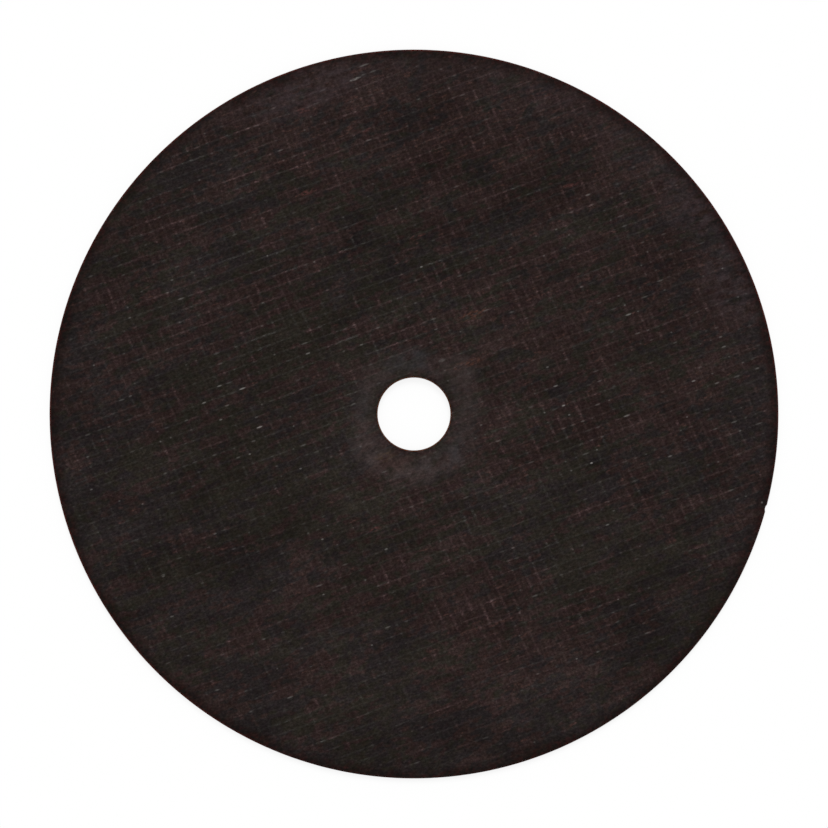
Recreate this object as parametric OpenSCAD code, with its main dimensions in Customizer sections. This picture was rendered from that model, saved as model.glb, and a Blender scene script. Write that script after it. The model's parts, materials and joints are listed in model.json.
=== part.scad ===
// Flat cut-off wheel: a thin resin-bonded abrasive disc with glass cloth pressed into both faces.
// Millimetres, lying flat: the arbor hole is on Z and the back seat is on z = 0.

/* [Wheel] */
// Diameter over the rim
wheel_d = 254; // [150:1:406]
// Thickness across the two flange seats
wheel_t = 2.4; // [1.6:0.1:6]
// Diameter of the arbor hole
bore_d = 25.4; // [16:0.1:32]
// Corner break at each end of the arbor hole
bore_break = 0.25; // [0.05:0.05:0.5]

/* [Flange seat] */
// Diameter of the smooth pressed ring around the arbor hole
seat_d = 46; // [36:0.5:90]
// Height of the ring above the crests of the yarns
seat_proud = 0.02; // [0.01:0.01:0.1]

/* [Rim] */
// Width of the level band between the edge of the glass cloth and the fall to the rim
rim_flat = 0.5; // [0.1:0.1:10]
// Width over which each face falls away to the rim
fall_w = 3.5; // [1:0.5:10]
// Depth of that fall, measured at the rim
fall_depth = 0.35; // [0.05:0.05:0.4]
// Corner break where the fallen face meets the rim
rim_break = 0.2; // [0.05:0.05:0.25]

/* [Glass cloth] */
// Spacing of the yarns
yarn_pitch = 3.67; // [2:0.01:8]
// Width of a yarn where it stands out of the face
yarn_w = 0.8; // [0.4:0.05:1.6]
// Height of a yarn above the face
yarn_rise = 0.1; // [0.04:0.01:0.2]
// Direction of the yarns on the front face, from +X
front_turn = 20.2; // [-90:0.1:90]
// Direction of the yarns on the back face, from +X
back_turn = -31; // [-90:0.1:90]
// Distance of the front face's middle yarn from the wheel's axis
front_shift = -0.58; // [-4:0.01:4]
// Distance of the back face's middle yarn from the wheel's axis
back_shift = 1.1; // [-4:0.01:4]

/* [Rim chip] */
// Place of the chip round the rim, from +X
chip_at = -15; // [-180:1:180]
// Length of the chip along the rim
chip_l = 2.4; // [0.6:0.1:8]
// Depth of the chip into the rim
chip_depth = 0.45; // [0.1:0.05:1.5]

/* [Hidden] */
$fn = 96;
// Cuts run past the surfaces that they open by this much
past = 1;

wheel_r = wheel_d / 2;
bore_r = bore_d / 2;
seat_r = seat_d / 2;
fall_r = wheel_r - fall_w;
cloth_r = fall_r - rim_flat;

// Levels of the abrasive face between the yarns
face_top = wheel_t - seat_proud - yarn_rise;
face_low = wheel_t - face_top;
crest = wheel_t - seat_proud;

// Radius of the arc with this chord and rise
function arc_r(chord, rise) = (chord * chord / 4 + rise * rise) / (2 * rise);

fall_arc_r = arc_r(2 * fall_w, fall_depth);
yarn_r = arc_r(yarn_w, yarn_rise);
chip_r = arc_r(chip_l, chip_depth);

// Radius at which the yarns end under the seat
anchor_r = (bore_r + seat_r) / 2;

// Half the chord of a circle at this distance from its centre, or 0 outside it
function half_chord(r, distance) = distance < r ? sqrt(r * r - distance * distance) : 0;

// Half section from the bore to the rim, radius on X and height on Y
module wheel_section() {
    difference() {
        union() {
            translate([bore_r, 0]) square([seat_r - bore_r, wheel_t]);
            translate([bore_r, face_low]) square([fall_r - bore_r, face_top - face_low]);
            falling_rim();
        }
        for (end = [0, wheel_t]) corner_break([bore_r, end], bore_break);
        for (end = [face_low + fall_depth, face_top - fall_depth])
            corner_break([wheel_r, end], rim_break);
    }
}

// Outer stretch of the section, where each face bends away on an arc that starts level
module falling_rim() {
    intersection() {
        translate([fall_r, 0]) square([fall_w, wheel_t]);
        translate([fall_r, face_top - fall_arc_r]) circle(fall_arc_r);
        translate([fall_r, face_low + fall_arc_r]) circle(fall_arc_r);
    }
}

// Diamond that takes this much off a corner of the section
module corner_break(corner, size) {
    translate(corner)
        polygon([[size, 0], [0, size], [-size, 0], [0, -size]]);
}

// Section of a yarn: a segment of a circle, half above the face and half sunk in it
module yarn_section() {
    intersection() {
        translate([0, crest - yarn_r]) circle(yarn_r);
        translate([-yarn_w, face_top - yarn_rise]) square([2 * yarn_w, 2 * yarn_rise]);
    }
}

// Length of yarn along X, at this distance across the face
module yarn(from, to, across) {
    translate([from, across, 0])
        rotate([90, 0, 90]) linear_extrude(to - from) yarn_section();
}

// Yarns that run one way across a face, each cut at the cloth's edge and held under the seat
module cloth_yarns(turn, shift) {
    rows = ceil((cloth_r + abs(shift)) / yarn_pitch);
    rotate([0, 0, turn])
        for (i = [-rows : rows]) {
            across = i * yarn_pitch + shift;
            outer = half_chord(cloth_r, abs(across) + yarn_w / 2);
            inner = half_chord(anchor_r, max(abs(across) - yarn_w / 2, 0));
            if (inner > 0)
                for (run = [[-outer, -inner], [inner, outer]]) yarn(run[0], run[1], across);
            else if (outer > 0)
                yarn(-outer, outer, across);
        }
}

// Bite out of the rim, through the whole edge
module rim_chip() {
    rotate([0, 0, chip_at])
        translate([wheel_r - chip_depth + chip_r, 0, -past])
            cylinder(r = chip_r, h = wheel_t + 2 * past);
}

module cut_off_wheel() {
    color([0.16, 0.133, 0.125]) difference() {
        union() {
            rotate_extrude() wheel_section();
            cloth_yarns(front_turn, front_shift);
            translate([0, 0, wheel_t]) rotate([180, 0, 0]) cloth_yarns(back_turn, back_shift);
        }
        rim_chip();
    }
}

cut_off_wheel();
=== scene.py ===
# %% [markdown]
# # Dressing a cut-off wheel
# A cut-off wheel is a thin disc of abrasive grain and resin, pressed hot with a layer of open glass
# cloth on each face. Seen from above it is almost black, and what tells us what it is are the fine
# lighter lines of the cloth, brown and olive stains in the resin, and dust round the arbor hole.
# The CAD model comes first and is never moved. Every size below is read from it, or is one that its
# drawing uses, so the piece that we build falls into place by itself.

# %% Load the frame
import json
import math

import bpy
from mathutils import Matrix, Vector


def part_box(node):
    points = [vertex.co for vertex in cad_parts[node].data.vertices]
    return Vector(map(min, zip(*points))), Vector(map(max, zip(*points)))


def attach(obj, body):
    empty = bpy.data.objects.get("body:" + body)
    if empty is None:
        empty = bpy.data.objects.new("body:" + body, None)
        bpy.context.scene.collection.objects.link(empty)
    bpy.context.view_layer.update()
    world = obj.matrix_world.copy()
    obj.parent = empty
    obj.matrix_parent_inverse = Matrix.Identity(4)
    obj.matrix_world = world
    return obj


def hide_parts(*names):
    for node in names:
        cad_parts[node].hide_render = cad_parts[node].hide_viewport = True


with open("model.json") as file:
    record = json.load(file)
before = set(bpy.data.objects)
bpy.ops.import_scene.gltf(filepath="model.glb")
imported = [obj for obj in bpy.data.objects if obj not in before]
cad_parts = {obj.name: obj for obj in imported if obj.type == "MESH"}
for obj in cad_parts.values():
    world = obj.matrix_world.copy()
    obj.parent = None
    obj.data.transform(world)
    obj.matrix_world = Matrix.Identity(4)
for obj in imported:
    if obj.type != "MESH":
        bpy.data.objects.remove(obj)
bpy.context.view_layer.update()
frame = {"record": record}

MM = 0.001

# %% [markdown]
# ## Sizes
# Blender works in metres, so the first cell has named a millimetre. The rim in the CAD mesh is a fine
# polygon, and taking its nearest reach keeps our rounder rim inside it. The arbor hole is a mount in
# the record, with its radius and the length of its straight wall. The flange seat round the hole
# stands a hair proud, and near the rim the face falls away.

# %% Sizes of the wheel
low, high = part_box("cut_off_wheel")
wheel_r = min(high.x, high.y, -low.x, -low.y)
half_thick = (high.z - low.z) / 2
middle = (high.z + low.z) / 2
arbor = next(m for m in frame["record"]["mounts"] if m["name"] == "arbor_bore")["dims"]
bore_r = arbor["r_mm"] * MM
bore_half_wall = arbor["length_mm"] * MM / 2

seat_r = 23 * MM
seat_blend = 1.6 * MM
seat_proud = 0.02 * MM
fall_w = 3.5 * MM
fall_depth = 0.35 * MM
rim_break = 0.2 * MM
rim_flat = 0.5 * MM
fall_r = wheel_r - fall_w
cloth_r = fall_r - rim_flat
print(f"wheel {2 * wheel_r / MM:.2f} mm across and {2 * half_thick / MM:.2f} mm thick")
print(f"arbor hole {2 * bore_r / MM:.2f} mm across, flange seat {2 * seat_r / MM:.0f} mm across")

# %% [markdown]
# The cloth is a plain weave of two sets of yarn that cross at not quite a right angle. One set runs
# dead straight and shows most; the set across it bows a little, as cloth does when it is laid by hand.
# Each face has its own cloth, laid at a chance angle.

# %% Sizes of the cloth
yarn_pitch = 3.669 * MM
cross_pitch = 3.694 * MM
yarn_w = 0.8 * MM
yarn_rise = 0.1 * MM
cross_rise = 0.06 * MM
crossing_lift = 0.012 * MM
cross_slant = math.radians(4.03)
cross_bow = 2.1 * MM
front_turn = math.radians(20.16)
back_turn = math.radians(-31)
front_shifts = {"Yarn shift": -0.58 * MM, "Cross shift": 0.9 * MM}
back_shifts = {"Yarn shift": 1.1 * MM, "Cross shift": -0.4 * MM}
face_level = half_thick - seat_proud - yarn_rise
rim_half_wall = face_level - fall_depth - rim_break
print(f"about {2 * cloth_r / yarn_pitch:.0f} yarns each way on a face")

# %% [markdown]
# ## Writing nodes as arithmetic
# Both the shape and the finish are node trees. Dragging hundreds of Math nodes by hand is slow and
# hard to read, so one small class wraps a socket. Arithmetic on it adds Math nodes to its tree, and
# its method `add` makes any other node: first the settings, then a value or a link for each socket.

# %% A socket that does arithmetic
class Wire:
    """An output socket of a node tree, or with no socket just the tree."""

    def __init__(self, tree, node=None, key=0):
        self.tree = tree
        self.node = node
        self.socket = node.outputs[key] if node and node.outputs else None

    def add(self, kind, settings=None, sockets=None, out=0):
        """Adds a node of this kind and gives one of its outputs."""
        node = self.tree.nodes.new(kind)
        for name, value in (settings or {}).items():
            setattr(node, name, value)
        for key, value in (sockets or {}).items():
            for part in value if isinstance(value, list) else [value]:
                if isinstance(part, Wire):
                    self.tree.links.new(part.socket, node.inputs[key])
                else:
                    node.inputs[key].default_value = part
        return Wire(self.tree, node, out)

    def out(self, key):
        """Another output of the same node."""
        return Wire(self.tree, self.node, key)

    def math(self, operation, *others):
        return self.add("ShaderNodeMath", {"operation": operation}, dict(enumerate((self, *others))))

    def __add__(self, other):
        return self.math("ADD", other)

    def __sub__(self, other):
        return self.math("SUBTRACT", other)

    def __rsub__(self, other):
        return self.math("MULTIPLY", -1.0) + other

    def __mul__(self, other):
        return self.math("MULTIPLY", other)

    def __truediv__(self, other):
        return self.math("DIVIDE", other)

    def __gt__(self, other):
        return self.math("GREATER_THAN", other)

    def __abs__(self):
        return self.math("ABSOLUTE")

    def __floor__(self):
        return self.math("FLOOR")

    __radd__ = __add__
    __rmul__ = __mul__

    def step(self, start, end, height=1.0):
        """0 up to start and full height from end, with a smooth rise; a fall where end is lower."""
        return self.add(
            "ShaderNodeMapRange",
            {"interpolation_type": "SMOOTHSTEP"},
            {"Value": self, "From Min": start, "From Max": end, "To Max": height},
        )


def root(value):
    return value.math("MAXIMUM", 0.0).math("SQRT")


def vector(x, y, z):
    maker = next(part for part in (x, y, z) if isinstance(part, Wire))
    return maker.add("ShaderNodeCombineXYZ", sockets={0: x, 1: y, 2: z})


print("operators ready:", [name for name in vars(Wire) if name.startswith("__")][1:])

# %% [markdown]
# ## The shape
# The weave has thousands of crossings, so it is made by a rule. Geometry Nodes start from a box whose
# top is a fine net of points. Three lines of the net go to each yarn, one on its crest and one at each
# foot, so the number of a line says by itself whether it lies high or low. Displacing a dense plain
# grid would need many times the points to catch ridges less than a millimetre wide.

# %% A tree with named inputs
def new_tree(name, labels):
    """A geometry tree with one float input for each label, as (tree, its wires by label)."""
    tree = bpy.data.node_groups.new(name, "GeometryNodeTree")
    tree.interface.new_socket("Geometry", in_out="OUTPUT", socket_type="NodeSocketGeometry")
    for label in labels:
        tree.interface.new_socket(label, in_out="INPUT", socket_type="NodeSocketFloat")
    source = tree.nodes.new("NodeGroupInput")
    return tree, {label: Wire(tree, source, label) for label in labels}


def close_tree(geometry):
    geometry.add("NodeGroupOutput", sockets={"Geometry": geometry})
    print(f"{geometry.tree.name}: {len(geometry.tree.nodes)} nodes")


print("geometry trees so far:", len(bpy.data.node_groups))

# %% [markdown]
# A line's number divided by three gives its yarn, and the rest says where on the yarn it lies: 0 and 2
# are the feet, 1 is the crest.

# %% One set of parallel yarns
LINES_PER_YARN = 3


def yarn_lines(share, count, pitch, shift, width):
    """For points at this share of the net: place across the set, crest or not, and the yarn's number."""
    line = (share * (count * LINES_PER_YARN - 1)).math("ROUND")
    number = math.floor(line / LINES_PER_YARN)
    side = line - number * LINES_PER_YARN - 1
    across = (number - (count - 1) / 2) * pitch + shift + side * width / 2
    return across, 1 - abs(side), number


print(f"a yarn's crest lies {yarn_w / 2 / MM:.1f} mm from each of its feet")

# %% [markdown]
# This tree makes one half of the wheel, with X along its yarns and its middle plane on z = 0. Its first
# step turns each line of the net into a place in the cloth. The box is one unit wide about the origin,
# so half a unit added to a place in it gives the share of the net. The cross yarns then get their bow
# and their slant.

# %% Tree for one woven half: the net
NET_HALF = 0.5
HALF_LABELS = [
    "Yarn pitch", "Cross pitch", "Yarn shift", "Cross shift", "Cross slant", "Cross bow",
    "Yarn width", "Yarn rise", "Cross rise", "Crossing lift", "Face level", "Half thickness",
    "Seat radius", "Seat blend", "Cloth radius", "Fall radius", "Fall arc", "Wheel radius",
]
half_tree, size = new_tree("woven_half", HALF_LABELS)
start = Wire(half_tree)
yarns = 2 * (size["Wheel radius"] / size["Yarn pitch"]).math("CEIL") + 1
crosses = 2 * ((size["Wheel radius"] + size["Cross bow"]) / size["Cross pitch"]).math("CEIL") + 1
net = start.add(
    "GeometryNodeMeshCube",
    sockets={
        "Vertices X": crosses * LINES_PER_YARN,
        "Vertices Y": yarns * LINES_PER_YARN,
        "Vertices Z": 2,
    },
)
spot = start.add("ShaderNodeSeparateXYZ", sockets={0: start.add("GeometryNodeInputPosition")})
across, on_yarn, yarn_number = yarn_lines(
    spot.out(1) + NET_HALF, yarns, size["Yarn pitch"], size["Yarn shift"], size["Yarn width"]
)
beside, on_cross, cross_number = yarn_lines(
    spot.out(0) + NET_HALF, crosses, size["Cross pitch"], size["Cross shift"], size["Yarn width"]
)
bowed = beside + size["Cross bow"] * (across / size["Wheel radius"]).math("POWER", 2.0)
slant = size["Cross slant"]
along = (bowed - across * slant.math("SINE")) / slant.math("COSINE")
print(f"{half_tree.name}: {len(half_tree.nodes)} nodes for the net")

# %% [markdown]
# The second step gives each point its height. Where two crests cross, the yarn on top rises a little
# and the next one dips, turn by turn, as in any plain weave. Round the hole the weave melts into the
# flange seat, which is pressed smooth. Outside the cloth the face is plain, and it falls away to the
# rim on an arc. The underside goes a little past the middle plane, so that two halves overlap.

# %% Tree for one woven half: the heights
HALVES_OVERLAP = 0.5 * MM
radius = root(along * along + across * across)
turn_by_turn = (yarn_number + cross_number).math("FLOORED_MODULO", 2.0) * 2 - 1
relief = (on_yarn * size["Yarn rise"]).math("MAXIMUM", on_cross * size["Cross rise"])
relief = relief + on_yarn * on_cross * turn_by_turn * size["Crossing lift"]
relief = relief * (1 - (radius > size["Cloth radius"]))
past_level = (radius - size["Fall radius"]).math("MAXIMUM", 0.0)
fall = size["Fall arc"] - root(size["Fall arc"] * size["Fall arc"] - past_level * past_level)
height = size["Face level"] + relief - fall
seat = radius.step(size["Seat radius"] + size["Seat blend"], size["Seat radius"] - size["Seat blend"])
height = height + (size["Half thickness"] - height) * seat

upper = spot.out(2) > 0
placed = vector(along, across, upper * (height + HALVES_OVERLAP) - HALVES_OVERLAP)
close_tree(start.add("GeometryNodeSetPosition", sockets={"Geometry": net, "Position": placed}))

# %% [markdown]
# The rim and the hole are turned surfaces: a straight wall with a 45 degree corner break at each end.
# Both come from one small tree, a cylinder of three bands whose end rings are drawn in for the rim or
# flared for the hole. The rim of a trimmed wheel isn't smooth, so a fine noise eats into it.

# %% Tree for a turned wall with broken corners
END_RINGS_FROM = 1 / 3
TURNED_LABELS = ["Sides", "Radius", "Half wall", "Reach", "Flare", "Grit"]
turned_tree, size = new_tree("turned_wall", TURNED_LABELS)
start = Wire(turned_tree)
tube = start.add(
    "GeometryNodeMeshCylinder",
    sockets={"Vertices": size["Sides"], "Side Segments": 3, "Radius": 1.0, "Depth": 1.0},
)
spot = start.add("GeometryNodeInputPosition")
parts = start.add("ShaderNodeSeparateXYZ", sockets={0: spot})
at_end = abs(parts.out(2)) > END_RINGS_FROM
rim_noise = start.add(
    "ShaderNodeTexNoise", sockets={"Vector": spot, "Scale": 160.0, "Detail": 2.0, "Roughness": 0.6}
)
reach = size["Radius"] + at_end * size["Reach"] * size["Flare"] - rim_noise * size["Grit"]
level = parts.out(2).math("SIGN") * (size["Half wall"] + at_end * size["Reach"])
placed = vector(parts.out(0) * reach, parts.out(1) * reach, level)
close_tree(start.add("GeometryNodeSetPosition", sockets={"Geometry": tube, "Position": placed}))

# %% [markdown]
# The rim has one small bite out of it, at the right. A bite is a broken surface, so its cutter is a
# short cylinder that a noise has roughened. A noise colour is about half grey, so half is taken off
# before it pushes the points.

# %% Tree for the chip's cutter
NOISE_MIDDLE = (0.5, 0.5, 0.5)
chip_tree, size = new_tree("chip_cutter", ["Radius", "Height", "Roughness"])
start = Wire(chip_tree)
plug = start.add(
    "GeometryNodeMeshCylinder",
    sockets={"Vertices": 28, "Side Segments": 8, "Radius": size["Radius"], "Depth": size["Height"]},
)
crumble = start.add(
    "ShaderNodeTexNoise",
    sockets={"Vector": start.add("GeometryNodeInputPosition"), "Scale": 1400.0, "Detail": 2.0},
    out="Color",
)
centred = start.add("ShaderNodeVectorMath", {"operation": "SUBTRACT"}, {0: crumble, 1: NOISE_MIDDLE})
pushed = start.add(
    "ShaderNodeVectorMath", {"operation": "SCALE"}, {0: centred, "Scale": size["Roughness"]}
)
close_tree(start.add("GeometryNodeSetPosition", sockets={"Geometry": plug, "Offset": pushed}))

# %% [markdown]
# The main tree starts with the parts: the two halves, one of them turned over, the walls of the rim and
# of the hole, and the chip's cutter on its place at the rim. Small trees used as groups keep the main
# tree short, just as helpers do for a script.

# %% Tree for the whole wheel: the parts
WALL_REACH = 2 * MM
RIM_SIDES = 900
BORE_SIDES = 240
DRAWN_IN = -1
FLARED = 1
RIM_GRIT = 0.06 * MM
chip_at = math.radians(-15)
chip_depth = 0.45 * MM
chip_sizes = {"Radius": 1.825 * MM, "Height": 6 * MM, "Roughness": 0.5 * MM}
shared = [label for label in HALF_LABELS if "shift" not in label]
wheel_tree, size = new_tree("cut_off_wheel", shared + ["Rim half wall", "Bore radius", "Bore half wall"])
start = Wire(wheel_tree)


def woven_half(shifts, rotation):
    sockets = {label: size[label] for label in shared} | shifts
    half = start.add("GeometryNodeGroup", {"node_tree": half_tree}, sockets)
    return start.add("GeometryNodeTransform", sockets={"Geometry": half, "Rotation": rotation})


def turned_wall(*values):
    return start.add("GeometryNodeGroup", {"node_tree": turned_tree}, dict(zip(TURNED_LABELS, values)))


front = woven_half(front_shifts, (0, 0, front_turn))
back = woven_half(back_shifts, (math.pi, 0, -back_turn))
rim = turned_wall(RIM_SIDES, size["Wheel radius"], size["Rim half wall"], WALL_REACH, DRAWN_IN, RIM_GRIT)
bore = turned_wall(BORE_SIDES, size["Bore radius"], size["Bore half wall"], WALL_REACH, FLARED, 0)
chip = start.add("GeometryNodeGroup", {"node_tree": chip_tree}, chip_sizes)
chip_out = wheel_r - chip_depth + chip_sizes["Radius"]
chip_place = (chip_out * math.cos(chip_at), chip_out * math.sin(chip_at), 0)
chip = start.add("GeometryNodeTransform", sockets={"Geometry": chip, "Translation": chip_place})
print(f"chip {chip_depth / MM:.2f} mm deep at {math.degrees(chip_at):.0f} degrees")

# %% [markdown]
# The halves are joined, the rim's wall trims them round, and the hole and the chip are cut out. The
# Manifold solver of the Boolean node is exact enough for closed shapes like these and takes about a
# second. Corners are marked sharp, and so are the feet of the yarns, which are the hollow edges: each
# crest then shades round, and each window shades flat.

# %% Tree for the whole wheel: joined, cut and shaded
SHARP_FROM = math.radians(30)
FOOT_FROM = math.radians(4)


def boolean(operation, sockets):
    return start.add("GeometryNodeMeshBoolean", {"operation": operation, "solver": "MANIFOLD"}, sockets)


blank = boolean("UNION", {"Mesh 2": [front, back]})
round_blank = boolean("INTERSECT", {"Mesh 2": [blank, rim]})
wheel = boolean("DIFFERENCE", {"Mesh 1": round_blank, "Mesh 2": [bore, chip]})
wheel = start.add("GeometryNodeTransform", sockets={"Geometry": wheel, "Translation": (0, 0, middle)})
wheel = start.add("GeometryNodeSetShadeSmooth", sockets={"Geometry": wheel})
edge_angle = start.add("GeometryNodeInputMeshEdgeAngle")
yarn_foot = edge_angle.out("Signed Angle").math("LESS_THAN", -FOOT_FROM)
sharp = (edge_angle > SHARP_FROM).math("MAXIMUM", yarn_foot)
wheel = start.add(
    "GeometryNodeSetShadeSmooth",
    {"domain": "EDGE"},
    {"Geometry": wheel, "Selection": sharp, "Shade Smooth": False},
)
realized = start.add("GeometryNodeRealizeInstances", sockets={"Geometry": wheel})
coated = start.add("GeometryNodeSetMaterial", sockets={"Geometry": realized})
close_tree(coated)

# %% [markdown]
# ## The finish
# One material covers the whole wheel, because it is one pressed piece. It reads Object coordinates, in
# which the wheel is drawn, so it can work out from the same rule as the shape where each yarn runs.
# Colours were picked from a picture, on the 0 to 255 scale, and a little is taken off each for
# what the gloss adds.

# %% A colour as it looks
GLOSS_ADDS = 0.0045
DARKEST = 0.0005


def resin(red, green, blue):
    """Linear base colour that looks like this 0 to 255 colour under the studio light."""
    def linear(channel):
        share = channel / 255
        return share / 12.92 if share <= 0.04045 else ((share + 0.055) / 1.055) ** 2.4
    return (*(max(linear(c) - GLOSS_ADDS, DARKEST) for c in (red, green, blue)), 1.0)


print("a dark brown of 40, 32, 30 is", [round(c, 4) for c in resin(40, 32, 30)[:3]])

# %% [markdown]
# The first step of the finish finds a point's place in the cloth: millimetres along and across the
# yarns, and how far it is from the nearest yarn and cross yarn. The back is the same rule seen from
# below, so Y is mirrored there and the other cloth's angle and shifts are used.

# %% The place of a point in the cloth
BACK_TO_FRONT = 40.0
wheel_mm, bore_mm, seat_mm, cloth_mm = (reach / MM for reach in (wheel_r, bore_r, seat_r, cloth_r))
yarn_mm = yarn_pitch / MM
cross_mm = cross_pitch / MM
material = bpy.data.materials.new("bonded_abrasive")
material.use_nodes = True
material.node_tree.nodes.clear()
shade = Wire(material.node_tree)

object_place = shade.add("ShaderNodeTexCoord", out="Object")
place_mm = shade.add("ShaderNodeVectorMath", {"operation": "SCALE"}, {0: object_place, "Scale": 1 / MM})
xyz = shade.add("ShaderNodeSeparateXYZ", sockets={0: place_mm})
level = xyz.out(2)
is_front = level > middle / MM


def either(front_value, back_value):
    """A number that differs on the two faces."""
    return is_front * (front_value - back_value) + back_value


x = xyz.out(0)
y = xyz.out(1) * (is_front * 2 - 1)
cosine = either(math.cos(front_turn), math.cos(back_turn))
sine = either(math.sin(front_turn), math.sin(back_turn))
along = x * cosine + y * sine
across = y * cosine - x * sine
radius = root(along * along + across * across)
face_seed = is_front * BACK_TO_FRONT

yarn_shift = either(front_shifts["Yarn shift"] / MM, back_shifts["Yarn shift"] / MM)
cross_shift = either(front_shifts["Cross shift"] / MM, back_shifts["Cross shift"] / MM)
yarn_place = (across - yarn_shift) / yarn_mm
bow = (across / wheel_mm).math("POWER", 2.0) * (cross_bow / MM)
slanted = along * math.cos(cross_slant) + across * math.sin(cross_slant)
cross_place = (slanted - bow - cross_shift) / cross_mm
yarn_number = yarn_place.math("ROUND")
from_yarn = (yarn_place - yarn_number) * yarn_mm
cross_number = cross_place.math("ROUND")
from_cross = (cross_place - cross_number) * cross_mm
print(f"{len(material.node_tree.nodes)} nodes for the cloth's rule")

# %% [markdown]
# Noise textures do the staining. Helpers stretch them in millimetres along and across the yarns and mix
# or brighten colours. The Mix node has sockets for every kind of data, and those of a colour are known
# best by their numbers.

# %% Helpers for noise and colour
NOISE_AVERAGE = 0.5
MIX_SHARE, MIX_FIRST, MIX_SECOND, MIX_RESULT = 0, 6, 7, 2


def noise(length_along, length_across, seed, detail=1.0, roughness=0.5):
    """Noise about 0, within about half a unit, with features of these lengths in mm."""
    spot = vector(along / length_along, across / length_across, level / length_across + face_seed + seed)
    texture = shade.add(
        "ShaderNodeTexNoise",
        sockets={"Vector": spot, "Scale": 1.0, "Detail": detail, "Roughness": roughness},
    )
    return texture - NOISE_AVERAGE


def vector_math(operation, *values, out=0):
    return shade.add("ShaderNodeVectorMath", {"operation": operation}, dict(enumerate(values)), out)


def mix(first, second, share):
    colours = {MIX_SHARE: share, MIX_FIRST: first, MIX_SECOND: second}
    return shade.add("ShaderNodeMix", {"data_type": "RGBA"}, colours, out=MIX_RESULT)


def scaled(colour, share):
    """A colour, linked or plain, made brighter or darker."""
    start_colour = colour if isinstance(colour, Wire) else colour[:3]
    return shade.add("ShaderNodeVectorMath", {"operation": "SCALE"}, {0: start_colour, "Scale": share})


def grainy(colour, grit):
    """A colour that grit makes brighter above 0 and darker below, but never black."""
    return scaled(colour, grit.math("EXPONENT"))


print(f"a streak of {3 * yarn_mm:.0f} mm passes three windows of the cloth")

# %% [markdown]
# No two wheels are stained alike, and noise alone would put the stains of this one anywhere. Soft spots
# are placed where the picture shows a stain, a drift or a patch, each an ellipse that lies along the
# yarns and fades from its middle. A second helper says how far a point lies to one side of the wheel.

# %% Helpers for what has a place
cloth_place = vector(along, across, 0.0)


def soft_spot(place, reach, weight):
    """This weight at a place in mm on the front, fading to 0 at its reach along and across the yarns."""
    centre_along = place[0] * math.cos(front_turn) + place[1] * math.sin(front_turn)
    centre_across = place[1] * math.cos(front_turn) - place[0] * math.sin(front_turn)
    per_mm = (1 / reach[0], 1 / reach[1], 0.0)
    to_centre = (-centre_along / reach[0], -centre_across / reach[1], 0.0)
    far = vector_math("MULTIPLY_ADD", cloth_place, per_mm, to_centre)
    return vector_math("DOT_PRODUCT", far, far, out="Value").step(1.0, 0.0, weight)


def spots(*rows):
    """The sum of soft spots, each given as its place, its reach and its weight."""
    return sum(soft_spot(*row) for row in rows)


def towards(right, up):
    """From 1 on this side of the axis to -1 on the far side, for a direction about one unit long."""
    return (x * right + y * up) / radius


downward = towards(-0.35, -0.9)
print(f"{len(material.node_tree.nodes)} nodes before the first stain")

# %% [markdown]
# Resin stains are olive, mauve or red-brown, with little between. They are streaks along the yarns, so
# three lengths of noise are added, and the drifts say where one or the other wins over a wide part of
# the face. A narrow step then parts the colours, where a plain mix of noises would blur them. Outwards
# the mauve grows.

# %% Stained resin
olive_resin = resin(37.4, 33.7, 29.7)
mauve_resin = resin(35.7, 31.3, 31.2)
red_resin = resin(41.2, 32, 30.6)
red_drift = spots(
    ((-38, 108), (55, 30), 0.16), ((35, 105), (70, 35), 0.14), ((75, 35), (85, 60), 0.08),
    ((32, -80), (45, 30), 0.16),
)
olive_drift = spots(
    ((-75, -32), (80, 50), 0.15), ((44, -33), (36, 20), 0.16), ((-25, -100), (60, 30), 0.12),
    ((80, -60), (45, 30), 0.1), ((-22, 42), (40, 24), 0.06),
)
redness = noise(3.0, 1.8, seed=2) * 0.9 + noise(8.0, 3.2, seed=1) * 1.2 + noise(24.0, 9.0, seed=3) * 0.85
redness = redness + red_drift - olive_drift
red_share = redness.step(-0.08, 0.13)
outward = (radius / wheel_mm).math("POWER", 2.0)
mauveness = noise(10.0, 4.5, seed=4) + noise(3.0, 2.0, seed=5) * 0.8 + noise(45.0, 30.0, seed=25) * 0.8
mauve_share = (mauveness + outward * 0.25 - 0.12).step(-0.14, 0.14)
colour = mix(olive_resin, mauve_resin, mauve_share)
colour = mix(colour, red_resin, red_share)
print(f"{len(material.node_tree.nodes)} nodes with the stains")

# %% [markdown]
# Up close no stain has one even colour, because grains of different kinds are baked into the resin. The
# colour output of a noise has three channels that vary apart from each other, so a product with it
# tints the stain a little from place to place.

# %% Uneven tint
TINT_RANGE = 0.3
spot = vector(along / 2.6, across / 1.8, face_seed + 22.0)
speckle = shade.add(
    "ShaderNodeTexNoise", sockets={"Vector": spot, "Scale": 1.0, "Detail": 1.0}, out="Color"
)
uneven = vector_math("MULTIPLY_ADD", speckle, (TINT_RANGE,) * 3, (1 - TINT_RANGE / 2,) * 3)
colour = vector_math("MULTIPLY", colour, uneven)
print(f"{len(material.node_tree.nodes)} nodes with the tint")

# %% [markdown]
# A few wide parts of the face are lighter or darker than the rest, and round the flange seat, most of
# all below it, the face is lighter. All of these are exponents, like the grain that follows, so they
# can simply be added up.

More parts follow.
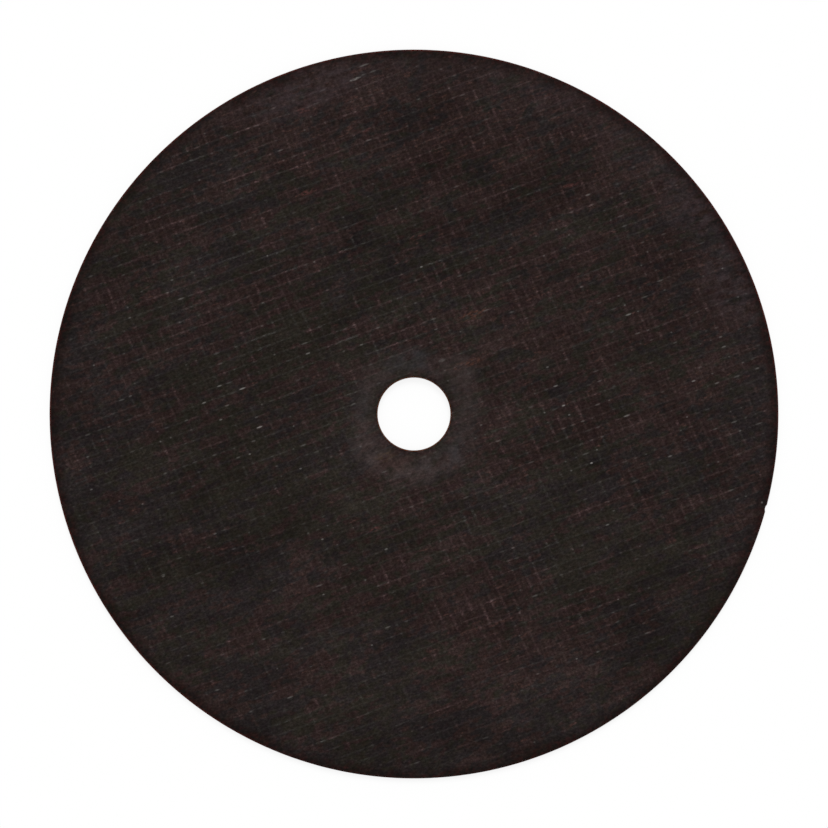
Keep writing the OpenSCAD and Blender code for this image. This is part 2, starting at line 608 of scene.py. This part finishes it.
# %% Lighter and darker parts
light_drift = spots(
    ((44, -88), (34, 24), 0.18), ((-34, -83), (40, 26), 0.14), ((-19, -26), (11, 16), 0.16),
    ((33, -4), (16, 11), 0.25), ((20, -21), (12, 10), 0.2), ((0, -88), (30, 22), 0.1),
    ((-62, -62), (26, 18), 0.04), ((60, -58), (24, 16), 0.1),
)
dark_drift = spots(
    ((2, 97), (22, 24), 0.2), ((22, 88), (26, 16), 0.18), ((42, 78), (24, 14), 0.16),
    ((-17, 58), (14, 22), 0.18), ((73, -73), (38, 20), 0.12), ((-80, -52), (30, 14), 0.1),
    ((92, 29), (20, 15), 0.14), ((-92, 2), (26, 26), 0.05), ((92, -4), (20, 16), 0.05),
    ((-29, 2), (8, 12), 0.16), ((-25, 25), (14, 12), 0.1),
)
glow = (radius - downward * 6).step(2 * seat_mm, seat_mm - 1) * 0.13
drift = light_drift - dark_drift + glow
print(f"{len(material.node_tree.nodes)} nodes with the drifts")

# %% [markdown]
# The face is gritty, so its brightness jumps from grain to grain. The exponent keeps the colour above
# black and gives more bright specks than dark ones, as grit has. The red-brown stains also show fine
# ticks across the yarns, where the cross fibres lie just under the resin. Grains are greyer than the
# resin round them, so half of what they add is grey.

# %% Grain
GREY_SHARE = 0.5
grain_grey = resin(34.8, 32.6, 32.2)
grain = noise(1.15, 0.8, seed=6, detail=2.0, roughness=0.7)
blotches = noise(7.0, 3.4, seed=7) * 0.85 + noise(22.0, 10.0, seed=8) * 0.8
blotches = blotches + noise(45.0, 32.0, seed=26) * 0.6
ticks = noise(0.7, 3.2, seed=9).math("MAXIMUM", 0.0) * red_share
brightness = grain * 2.75 + blotches + ticks * 1.6 + drift - 0.02
lift = brightness.math("EXPONENT") - 1
own_lift = scaled(colour, 1 + lift * (1 - GREY_SHARE))
colour = vector_math("ADD", own_lift, scaled(grain_grey, lift * GREY_SHARE))
print(f"{len(material.node_tree.nodes)} nodes with the grain")

# %% [markdown]
# In some of the red-brown streaks the grain is bare and shows salmon pink. A few streaks stand out from
# the rest, orange near the hole and coral elsewhere. They could be painted by hand, but long soft spots
# that a fine noise breaks into specks need only a few numbers each.

# %% Bare grain in streaks
STREAK_COVER = 0.85
salmon_resin = resin(74, 52, 47)
orange_resin = resin(76, 51, 42)
coral_resin = resin(73, 46, 44)
bare_grain = noise(5.0, 1.0, seed=10) + noise(1.0, 1.0, seed=11) * 0.5 + red_drift * 0.3
salmon_share = bare_grain.step(0.14, 0.34) * red_share * 0.4
orange_streaks = spots(((17.6, 17.2), (9.0, 1.7), 1.0), ((20.2, 34.4), (6.5, 1.9), 1.0))
coral_streaks = spots(
    ((-38.4, 105.9), (4.4, 1.4), 1.0), ((-37.1, 77.2), (4.2, 1.2), 1.0), ((1.2, 61.7), (3.8, 1.1), 0.9),
    ((54.7, 79.7), (3.6, 1.1), 0.9), ((-17.4, 98.6), (3.0, 1.0), 0.9), ((-13.5, -40.1), (2.8, 1.0), 0.9),
)
broken = noise(1.8, 0.7, seed=24).step(-0.14, 0.16)
colour = mix(colour, grainy(salmon_resin, grain * 3.0), salmon_share)
colour = mix(colour, grainy(orange_resin, grain * 3.0), orange_streaks * broken * STREAK_COVER)
colour = mix(colour, grainy(coral_resin, grain * 3.0), coral_streaks * broken * STREAK_COVER)
print(f"{len(material.node_tree.nodes)} nodes with the streaks")

# %% [markdown]
# The yarns show as thin lighter lines where the grain has been pressed off their crests. How far a crest
# is worn is another exponent: it changes from fibre to fibre, along each yarn, over wide regions and
# with drifts that have a place. A red-brown stain is thinner resin, so more glass shows through it.

# %% Wear of the yarns
fibre = noise(1.0, 0.5, seed=14)
fibre_wear = fibre * 6.2 + noise(26.0, 17.0, seed=29) * 1.6
yarn_drift = spots(
    ((-42, 35), (60, 45), 0.6), ((-66, 62), (60, 40), 0.35), ((38, -38), (50, 36), 0.3),
    ((104, 62), (45, 50), -0.75), ((92, 8), (40, 40), -0.3), ((-62, -46), (75, 42), -0.5),
    ((-70, -72), (70, 45), -0.4), ((45, -108), (60, 26), -0.4), ((-10, -80), (40, 24), -0.2),
)
cross_drift = spots(
    ((8, 42), (36, 24), 0.45), ((-55, 35), (40, 24), 0.3), ((45, -14), (36, 22), 0.45),
    ((30, -48), (42, 36), 0.5), ((25, -104), (75, 30), -0.8), ((90, -66), (34, 30), -0.6),
    ((104, 45), (36, 42), -0.3), ((-50, -85), (50, 26), -0.3), ((-40, -44), (52, 24), -0.55),
)
yarn_wear = noise(13.0, 1.5, seed=12, detail=2.0) * 8.0 + fibre_wear + yarn_drift + redness * 0.9
cross_wear = noise(3.4, 4.6, seed=13) * 4.8 + fibre_wear + cross_drift + redness * 1.6
print(f"{len(material.node_tree.nodes)} nodes with the wear")

# %% [markdown]
# The straight set is clear nearly everywhere, most of all beside a crossing, with a painted shadow along
# one foot, where the raised yarn would shade the face. The cross set comes and goes from one window to
# the next. Where two yarns cross, both add up. The resin's stain tints the glass that it covers.

# %% Glass yarns
YARN_SHOWS = 0.0184
CROSS_SHOWS = 0.027
# How far the painted shadow along one foot of each yarn darkens the colour.
FOOT_SHADOW_DEPTH = 0.07
glass_grey = resin(86, 85, 82)
glass_pink = resin(101, 79, 79)
on_cloth = radius.step(cloth_mm + 0.6, cloth_mm - 0.6)
yarn_line = abs(from_yarn + 0.04).step(0.55, 0.05) * on_cloth
cross_line = abs(from_cross - 0.03).step(0.78, 0.05) * on_cloth
painted_foot_shadow = abs(from_yarn + 0.72).step(0.44, 0.0) * on_cloth
beside_cross = abs(from_cross + 0.4).step(1.5, 0.2)
yarn_share = yarn_line * (yarn_wear + beside_cross * 0.4).math("EXPONENT") * YARN_SHOWS
cross_share = cross_line * cross_wear.math("EXPONENT") * CROSS_SHOWS
# Painted shadow: the colour is darkened along one foot of each yarn.
colour = scaled(colour, 1 - painted_foot_shadow * FOOT_SHADOW_DEPTH)
glass = mix(glass_grey, glass_pink, red_share)
colour = mix(colour, glass, (yarn_share + cross_share).math("MINIMUM", 1.0))
print(f"{len(material.node_tree.nodes)} nodes with the yarns")

# %% [markdown]
# Dust lies where the wheel was handled: a ragged ring that the flange left round the hole, a few patches
# inside the rim at the top left, and a thin veil along the rim at the upper right. A noise wears it into
# flakes, and it is thin, so the cloth shows through it.

# %% Where dust lies
RING_SOFTNESS = 4
trimmed = spots(((-27, 3), (12, 16), 6.5), ((16, 15), (10, 9), -5.0))
ring_r = radius + noise(10.0, 8.0, seed=35, detail=2.0) * 8 - downward * 1.7 + trimmed
ring = ring_r.step(seat_mm + RING_SOFTNESS, seat_mm - RING_SOFTNESS)
ring = ring * radius.step(bore_mm - 0.2, bore_mm + 5.8)
ring = ring * (noise(3.4, 2.8, seed=36, detail=2.0) * 2.2 + 0.58)
patches = spots(
    ((-38, 112), (28, 10), 0.72), ((98, 75), (16, 18), 0.6),
    ((112, 46), (16, 18), 0.62), ((52, 110), (28, 11), 0.15),
)
veil = radius.step(wheel_mm - 19, wheel_mm - 7) * towards(0.6, 0.8).step(0.1, 0.9) * 0.27
patch_share = (patches + veil) * (noise(5.0, 2.5, seed=18, detail=2.0) * 3.2 + 0.4)
dust_share = ring.math("MAXIMUM", patch_share)
print(f"{len(material.node_tree.nodes)} nodes with the dust's places")

# %% [markdown]
# The dust has more than one colour. The ring is mauve, bluish above and lighter below, with a reddish
# part and a tan smear under the hole, and the patches far out are violet or blue. Mixing them in turn
# before they go over the resin keeps each of them easy to change.

# %% Colours of the dust
dust_mauve = resin(55.5, 47.2, 46)
dust_blue = resin(50, 48, 49.5)
dust_violet = resin(55, 45.6, 47.4)
red_dust = resin(58, 43.5, 40.5)
tan_dust = resin(64, 52, 40)
blue_share = noise(4.6, 4.0, seed=17) * 2.0 + spots(
    ((-2, 18.5), (12, 7), 1.0), ((13, -14), (9, 8), 0.6), ((-18, 3), (6, 7), 0.4),
    ((112, 40), (14, 26), 0.3),
)
dust = mix(dust_mauve, dust_violet, radius.step(40.0, 60.0))
dust = mix(dust, dust_blue, blue_share.math("MAXIMUM", 0.0))
dust = mix(dust, red_dust, spots(((-5, -15), (12, 6), 0.6)))
dust = mix(dust, tan_dust, spots(((-9.6, -14.8), (5.5, 2.6), 0.8)) * broken)
lighter_below = downward.step(0.0, 0.9) * radius.step(seat_mm + 9, seat_mm + 1) * 0.26
colour = mix(colour, grainy(dust, grain * 1.7 + lighter_below), dust_share)
print(f"{len(material.node_tree.nodes)} nodes with the dust")

# %% [markdown]
# At the crossings the glass is pressed hardest against the mould and catches the light, and painted
# glints stand there as highlights, even through dust. A white noise gives each crossing its own luck.
# Three random numbers added up are nearly bell shaped, and the exponent of that leaves most crossings
# dull and a few bright, in loose crowds.
# Each glint also has its own place and length. Here and there a longer painted glint lies along a yarn,
# at listed places.

# %% Glints
GLINT_SHOWS = 0.0122
GLINT_HALF_W = 0.35
MOST_GLINT = 0.62
# The white of the painted glints, highlights where the glass catches the light.
painted_glint_white = resin(150, 146, 142)


def random_at(seed):
    """Three random numbers for each crossing of the cloth."""
    spot = vector(yarn_number, cross_number, face_seed + seed)
    numbers = shade.add("ShaderNodeTexWhiteNoise", sockets={"Vector": spot}, out="Color")
    return shade.add("ShaderNodeSeparateXYZ", sockets={0: numbers})


chance = random_at(1.0)
jitter = random_at(2.0)
luck = chance + chance.out(1) + chance.out(2) - 1.5
glint_half_length = 0.42 + jitter.out(2) * jitter.out(2) * 1.2
far_along = (from_cross + (jitter - 0.5) * 0.9) / glint_half_length
far_across = (from_yarn + (jitter.out(1) - 0.5) * 0.35) / GLINT_HALF_W
mark = (far_along * far_along + far_across * far_across).step(1.0, 0.0) * on_cloth
crowd = noise(22.0, 13.0, seed=21) * 4.4 + spots(
    ((-56, -4), (28, 24), 0.9), ((56, -2), (28, 26), 0.9), ((106, 30), (36, 66), 0.8),
    ((5, 76), (75, 36), -0.8), ((0, -100), (70, 26), -0.6),
)
# Painted glints: highlights at the crossings of the cloth.
glint_share = mark * (luck * 2.3 + crowd).math("EXPONENT") * GLINT_SHOWS
glint_dash_spots = spots(
    ((-20.4, 116.6), (2.6, 0.5), 0.42), ((-17.4, 121.4), (2.3, 0.42), 0.2),
    ((9.8, 18.7), (1.7, 0.7), 0.12), ((-87.3, -56.3), (0.9, 0.7), 0.14),
)
# Longer painted glints, highlights along a yarn at listed places.
painted_glint_dashes = glint_dash_spots * (fibre * 2.5 + 0.9)
# The painted glints go into the colour here.
colour = mix(colour, painted_glint_white, (glint_share + painted_glint_dashes).math("MINIMUM", MOST_GLINT))
print(f"{len(material.node_tree.nodes)} nodes with the glints")

# %% [markdown]
# The rim band is darker, with red in places, and so is a little of the lip of the hole.
# The very edge of both is red-brown, and the rim's is torn, less so at the lower right. Bands at a fixed
# radius would look turned on a lathe, so a noise moves their edges in and out.

# %% Rim band and lips
rim_band_dark = resin(24, 20, 18.5)
rim_band_red = resin(35, 18.5, 17.5)
cut_edge = resin(64, 30, 26)
bore_edge = resin(96, 54, 32)
rim_r = radius + noise(6.0, 6.0, seed=19, detail=2.0) * 5
lip_r = radius + noise(3.0, 3.0, seed=20) * 4
rim_band_red_share = noise(1.8, 1.6, seed=27).step(-0.06, 0.12)
rim_band_colour = grainy(mix(rim_band_dark, rim_band_red, rim_band_red_share), grain * 2.6)
colour = mix(colour, rim_band_colour, rim_r.step(wheel_mm - 4.67, wheel_mm - 0.17) * 0.72)
colour = mix(colour, rim_band_colour, lip_r.step(bore_mm + 1.7, bore_mm + 0.1) * 0.25)
spared = towards(0.5, -0.87).step(0.35, 0.75)
torn = (noise(3.0, 3.0, seed=28, detail=2.0) * 2.4 + 0.75) * (1 - spared * 0.7)
torn_edge = radius.step(wheel_mm - 0.77, wheel_mm - 0.32) * torn
colour = mix(colour, grainy(cut_edge, grain * 2.0), torn_edge)
colour = mix(colour, grainy(bore_edge, grain * 2.0), radius.step(bore_mm + 0.4, bore_mm + 0.15))
print(f"{len(material.node_tree.nodes)} nodes with the rim band")

# %% [markdown]
# The walls of the rim and of the hole are cut through the grain: no cloth there, only grey-brown grit,
# with a painted glint on a grain's facet here and there. A second material could do this, but a point's
# radius and its height already tell the walls from the faces. One pale fleck by the chip is a painted
# glint of glass on the face.

# %% Cut walls
fleck_at = (121.1, -30.8)
cut_grit = resin(46, 38, 34)
painted_grit_glint = resin(112, 98, 86)
half_wall_mm = rim_half_wall / MM
from_middle = abs(level - middle / MM)
rim_wall = radius.step(wheel_mm - 0.47, wheel_mm - 0.17)
rim_wall = rim_wall * from_middle.step(half_wall_mm + 0.13, half_wall_mm - 0.03)
bore_wall = radius.step(bore_mm + 0.15, bore_mm + 0.05)
cut_grain = noise(0.5, 0.5, seed=23, detail=2.0, roughness=0.7)
# Painted glints: some grains of the cut walls are lit up as highlights.
wall = mix(grainy(cut_grit, cut_grain * 5.0), painted_grit_glint, cut_grain.step(0.16, 0.3))
colour = mix(colour, wall, rim_wall.math("MAXIMUM", bore_wall))
# A painted glint: one pale fleck of glass on the face by the chip.
fleck_x = x - fleck_at[0]
fleck_y = y - fleck_at[1]
painted_glint_fleck = (fleck_x * fleck_x + fleck_y * fleck_y).step(0.2, 0.02)
colour = mix(colour, painted_glint_white, painted_glint_fleck * is_front * 0.22)
print(f"{len(material.node_tree.nodes)} nodes with the walls")

# %% [markdown]
# ## Putting the material together
# Only the base colour, the roughness and the bump change over the surface. The specular level is low
# all over, because a gritty face scatters nearly all of its gloss. Worn glass is a little smoother than
# the grit beside it.

# %% Shader
ROUGH_GRIT = 0.8
GLASS_SMOOTHER = 0.2
grit_height = noise(0.55, 0.5, seed=8, detail=2.0, roughness=0.6)
bump = shade.add(
    "ShaderNodeBump", sockets={"Strength": 0.5, "Distance": 0.12 * MM, "Height": grit_height}
)
shader = shade.add(
    "ShaderNodeBsdfPrincipled",
    sockets={
        "Base Color": colour,
        "Roughness": ROUGH_GRIT - yarn_line * GLASS_SMOOTHER,
        "Specular IOR Level": 0.07,
        "Normal": bump,
    },
)
shade.add("ShaderNodeOutputMaterial", sockets={"Surface": shader})
print(f"{material.name}: {len(material.node_tree.nodes)} nodes in all")

# %% [markdown]
# ## From nodes to a plain mesh
# The tree's sizes are set on a modifier by each input's identifier. The evaluated result is then copied
# into a plain mesh, which is what the piece keeps: no modifier, at the origin, unturned and unscaled.

# %% Make the wheel
fall_arc = (fall_w * fall_w + fall_depth * fall_depth) / (2 * fall_depth)
sizes = {
    "Yarn pitch": yarn_pitch, "Cross pitch": cross_pitch,
    "Cross slant": cross_slant, "Cross bow": cross_bow,
    "Yarn width": yarn_w, "Yarn rise": yarn_rise,
    "Cross rise": cross_rise, "Crossing lift": crossing_lift,
    "Face level": face_level, "Half thickness": half_thick,
    "Seat radius": seat_r, "Seat blend": seat_blend,
    "Cloth radius": cloth_r, "Fall radius": fall_r, "Fall arc": fall_arc,
    "Wheel radius": wheel_r, "Rim half wall": rim_half_wall,
    "Bore radius": bore_r, "Bore half wall": bore_half_wall,
}
coated.node.inputs["Material"].default_value = material
seed_object = bpy.data.objects.new("wheel_seed", bpy.data.meshes.new("wheel_seed"))
bpy.context.scene.collection.objects.link(seed_object)
maker = seed_object.modifiers.new("Wheel", "NODES")
maker.node_group = wheel_tree
for item in wheel_tree.interface.items_tree:
    if item.in_out == "INPUT":
        maker[item.identifier] = sizes[item.name]
depsgraph = bpy.context.evaluated_depsgraph_get()
mesh = bpy.data.meshes.new_from_object(seed_object.evaluated_get(depsgraph))
bpy.data.objects.remove(seed_object)
mesh.name = "abrasive_wheel"
wheel_piece = bpy.data.objects.new("abrasive_wheel", mesh)
bpy.context.scene.collection.objects.link(wheel_piece)
mesh.calc_loop_triangles()
print(f"{wheel_piece.name}: {len(mesh.vertices)} points, {len(mesh.loop_triangles)} triangles")

# %% [markdown]
# The frame has one body, because nothing on the wheel moves. The dressed wheel rides on that body and
# takes the place of the CAD wheel, whose slot says what it is made of.

# %% Ride on the frame
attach(wheel_piece, "root")
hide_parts("cut_off_wheel")
print(f"{wheel_piece.name} stands for cut_off_wheel")

# %% [markdown]
# ## Floor, light and camera
# The floor is white. To the camera it is mostly plain white, and the rest of it is a lit surface, so
# the wheel still leaves its shadow there.

# %% Floor
FLOOR_HALF = 4.0
FLOOR_GAP = 0.02 * MM
PLAIN_WHITE = 0.85
LIT_WHITE = (0.95, 0.95, 0.95, 1)
WHITE = (1, 1, 1, 1)
floor_z = low.z - FLOOR_GAP
corners = [(sx * FLOOR_HALF, sy * FLOOR_HALF, floor_z) for sx, sy in [(-1, -1), (1, -1), (1, 1), (-1, 1)]]
floor_mesh = bpy.data.meshes.new("floor")
floor_mesh.from_pydata(corners, [], [range(4)])
floor = bpy.data.objects.new("floor", floor_mesh)
bpy.context.scene.collection.objects.link(floor)
floor_material = bpy.data.materials.new("white_floor")
floor_material.use_nodes = True
floor_material.node_tree.nodes.clear()
paint = Wire(floor_material.node_tree)
seen = paint.add("ShaderNodeLightPath")
seen_share = seen.out("Is Camera Ray").math("MAXIMUM", seen.out("Is Glossy Ray"))
seen_share = seen_share.math("MAXIMUM", seen.out("Is Transmission Ray"))
lit = paint.add("ShaderNodeBsdfDiffuse", sockets={"Color": LIT_WHITE})
white = paint.add("ShaderNodeEmission", sockets={"Color": WHITE, "Strength": 1.0})
floor_look = paint.add("ShaderNodeMixShader", sockets={0: seen_share * PLAIN_WHITE, 1: lit, 2: white})
paint.add("ShaderNodeOutputMaterial", sockets={"Surface": floor_look})
floor_mesh.materials.append(floor_material)
print(f"floor {2 * FLOOR_HALF:.0f} m wide")

# %% [markdown]
# A pale world and one wide, even lamp to the north light the wheel softly. Together they give a level,
# flat card about its own colour, so the colours above are seen as they were written. To the camera the
# world is plain white, like the floor.

# %% Light
WORLD_SHARE = 0.6
LAMP_SHARE = 0.45
LAMP_ANGLE = math.radians(32)
scene = bpy.context.scene
scene.world = bpy.data.worlds.new("studio")
scene.world.use_nodes = True
scene.world.node_tree.nodes.clear()
sky = Wire(scene.world.node_tree)
seen_white = sky.add("ShaderNodeLightPath").out("Is Camera Ray")
pale = sky.add("ShaderNodeBackground", sockets={"Color": WHITE, "Strength": WORLD_SHARE})
plain = sky.add("ShaderNodeBackground", sockets={"Color": WHITE, "Strength": 1.0})
sky_look = sky.add("ShaderNodeMixShader", sockets={0: seen_white, 1: pale, 2: plain})
sky.add("ShaderNodeOutputWorld", sockets={"Surface": sky_look})

lamp_data = bpy.data.lights.new("north_light", "SUN")
lamp_data.angle = LAMP_ANGLE
lamp = bpy.data.objects.new("north_light", lamp_data)
scene.collection.objects.link(lamp)
lamp.location = (0.1, 1.1, 1.2)
lamp_aim = -lamp.location
lamp.rotation_euler = lamp_aim.to_track_quat("-Z", "Y").to_euler()
lamp_data.energy = LAMP_SHARE * math.pi * lamp.location.length / lamp.location.z
print(f"lamp strength {lamp_data.energy:.2f}, {math.degrees(lamp_data.angle):.0f} degrees wide")

# %% [markdown]
# The camera looks straight down, far enough away that the thin wheel shows no perspective. The wheel
# spans 728.5 of the picture's 828 pixels.

# %% Camera
PICTURE_PX = 828
WHEEL_PX = 728.48
camera_data = bpy.data.cameras.new("camera")
camera_data.lens = 85
camera = bpy.data.objects.new("camera", camera_data)
scene.collection.objects.link(camera)
picture_half = wheel_r * PICTURE_PX / WHEEL_PX
distance = picture_half * camera_data.lens / (camera_data.sensor_width / 2)
camera.location = (0, 0, middle + distance)
scene.camera = camera
scene.view_settings.view_transform = "Standard"
print(f"camera {distance:.3f} m above the wheel")

# %% [markdown]
